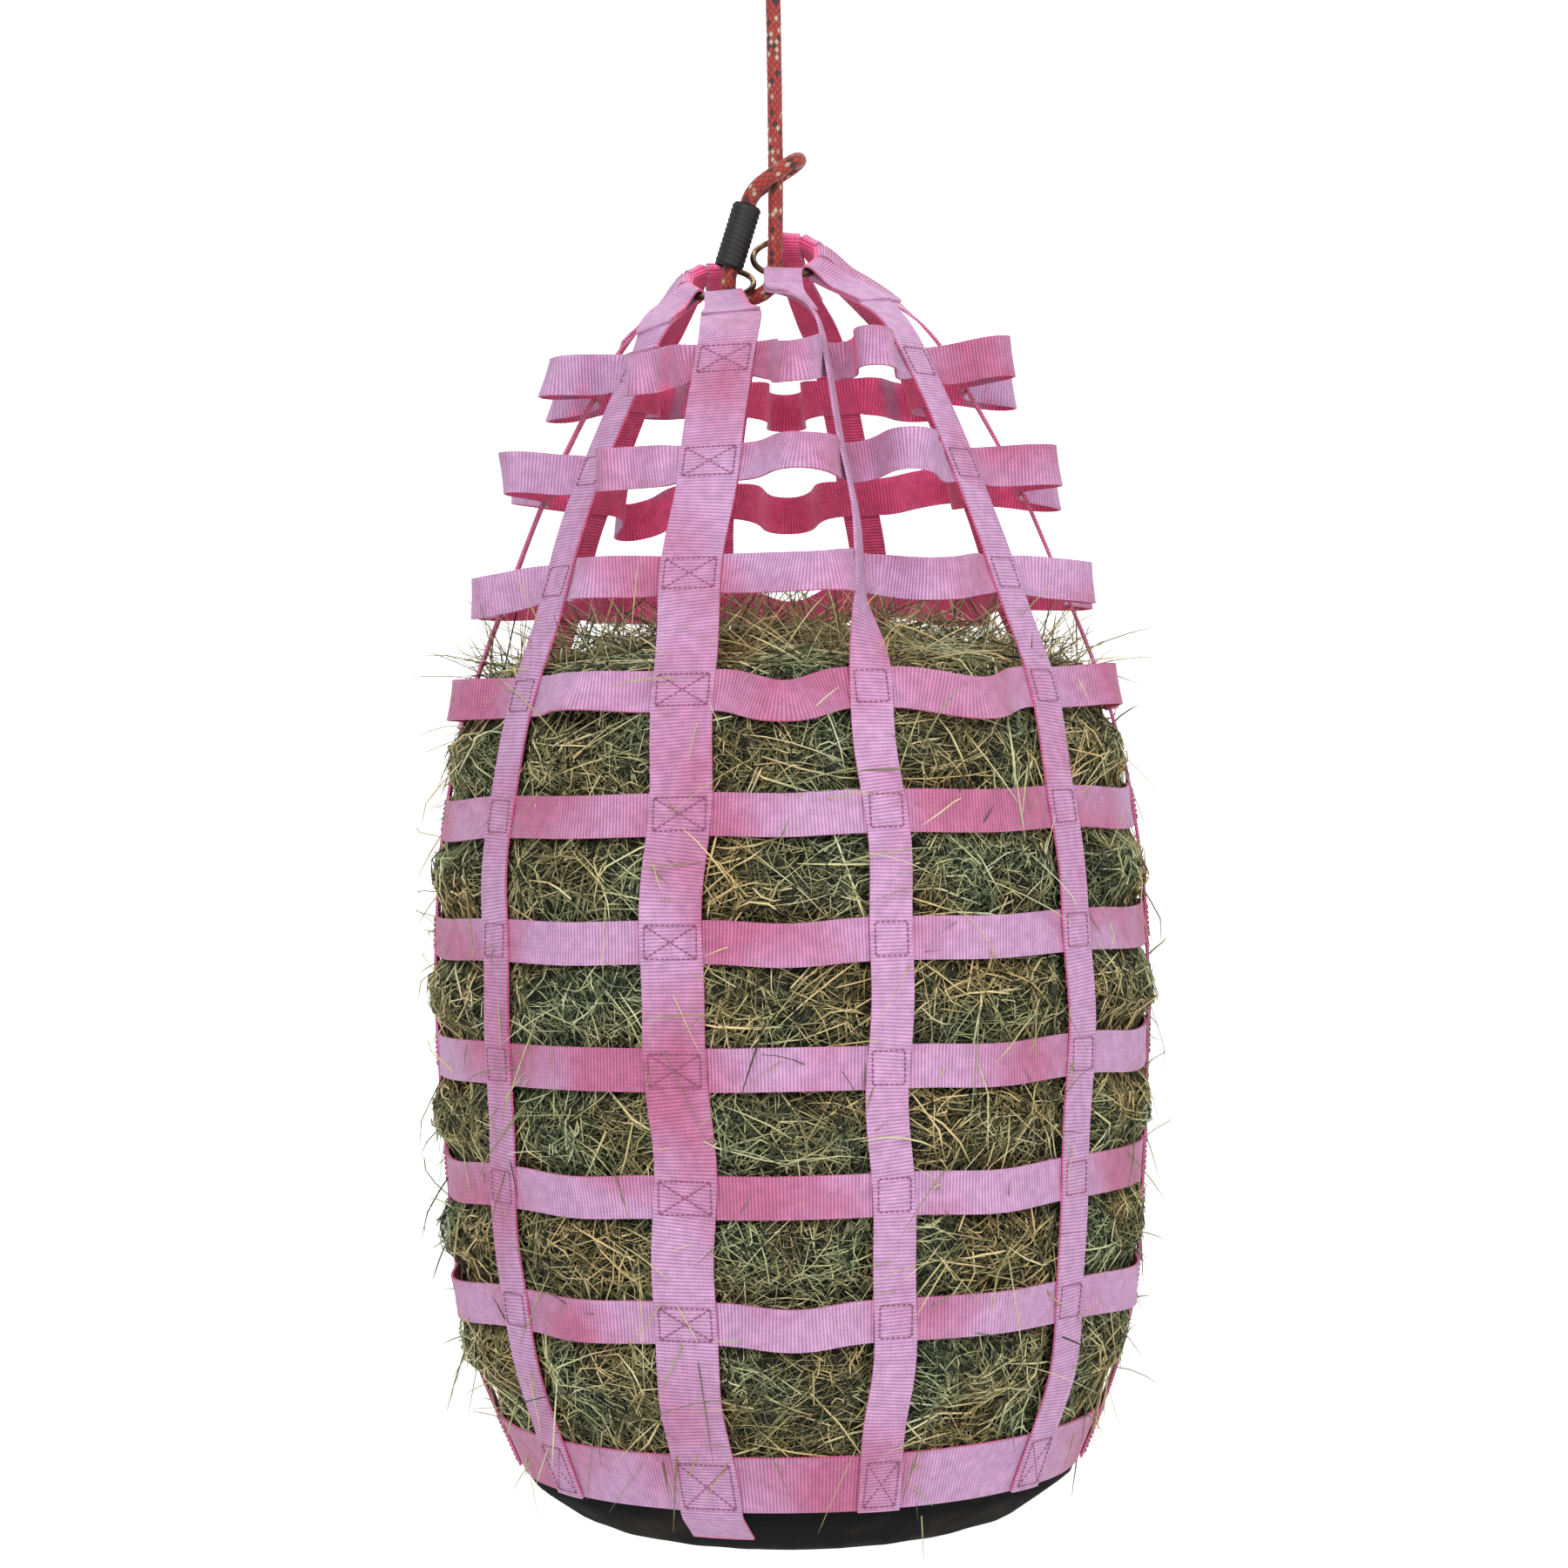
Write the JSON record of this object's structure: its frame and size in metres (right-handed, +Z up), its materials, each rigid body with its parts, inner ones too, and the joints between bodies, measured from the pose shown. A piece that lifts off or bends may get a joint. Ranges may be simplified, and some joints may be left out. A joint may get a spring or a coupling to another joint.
{
  "type": "hay net",
  "caption": "Hanging hay net of sewn pink webbing, filled with hay, drawn up by a sleeved noose rope on a swivel snap hook.",
  "frame": {"origin": "centre of the snap hook's bow, where the net hangs", "axes": "+Z up, -Y the side of the wide closing strap that faces the viewer, +X to the viewer's right"},
  "size_m": [0.4542, 0.4542, 1.14],
  "materials": {
    "pink_webbing": "matte",
    "black_fabric": "matte",
    "hay": "matte",
    "bronzed_steel": "satin",
    "red_rope": "matte",
    "black_sleeve": "matte",
    "plated_steel": "satin"
  },
  "bodies": {
    "hook": {"hook_body": "plated_steel", "gate_pin": "plated_steel"},
    "gate": {"hook_gate": "plated_steel"},
    "swivel": {"swivel_eye": "plated_steel"},
    "net": {"strap_01": "pink_webbing", "strap_02": "pink_webbing", "strap_03": "pink_webbing", "strap_04": "pink_webbing", "strap_05": "pink_webbing", "strap_06": "pink_webbing", "strap_07": "pink_webbing", "strap_08": "pink_webbing", "strap_09": "pink_webbing", "strap_10": "pink_webbing", "hoop_1": "pink_webbing", "hoop_2": "pink_webbing", "hoop_3": "pink_webbing", "hoop_4": "pink_webbing", "hoop_5": "pink_webbing", "hoop_6": "pink_webbing", "hoop_7": "pink_webbing", "hoop_8": "pink_webbing", "hoop_9": "pink_webbing", "base_band": "pink_webbing", "base_panel": "black_fabric", "hay_fill": "hay", "rope_main": "red_rope", "upper_sleeve": "black_sleeve", "upper_eye": "red_rope"},
    "right_ring": {"right_ring": "bronzed_steel"},
    "left_ring": {"left_ring": "bronzed_steel"},
    "noose": {"noose_sleeve": "black_sleeve", "noose_eye": "red_rope"}
  },
  "joints": [
    {"name": "gate_swing", "type": "hinge", "parent": "hook", "child": "gate", "pos_m": [0.012, 0, -0.024], "axis": [0, -1, 0], "range_deg": [0, 26], "stiffness_Nm_per_rad": 0.3, "springref_deg": -17.19},
    {"name": "swivel_turn", "type": "hinge", "parent": "hook", "child": "swivel", "pos_m": [0, 0, -0.04], "axis": [0, 0, 1], "continuous": true},
    {"name": "net_swing", "type": "hinge", "parent": "swivel", "child": "net", "pos_m": [0, 0, -0.073], "axis": [0, 1, 0], "range_deg": [-20, 20]},
    {"name": "right_ring_turn", "type": "hinge", "parent": "net", "child": "right_ring", "pos_m": [0.006, 0, -0.319], "axis": [0, -0.6428, 0.766], "continuous": true},
    {"name": "left_ring_turn", "type": "hinge", "parent": "net", "child": "left_ring", "pos_m": [-0.038, 0, -0.3349], "axis": [0, -0.5446, 0.8387], "continuous": true},
    {"name": "noose_slide", "type": "slide", "parent": "net", "child": "noose", "axis": [0.314, 0, 0.9494], "range_m": [0, 0.008]}
  ]
}
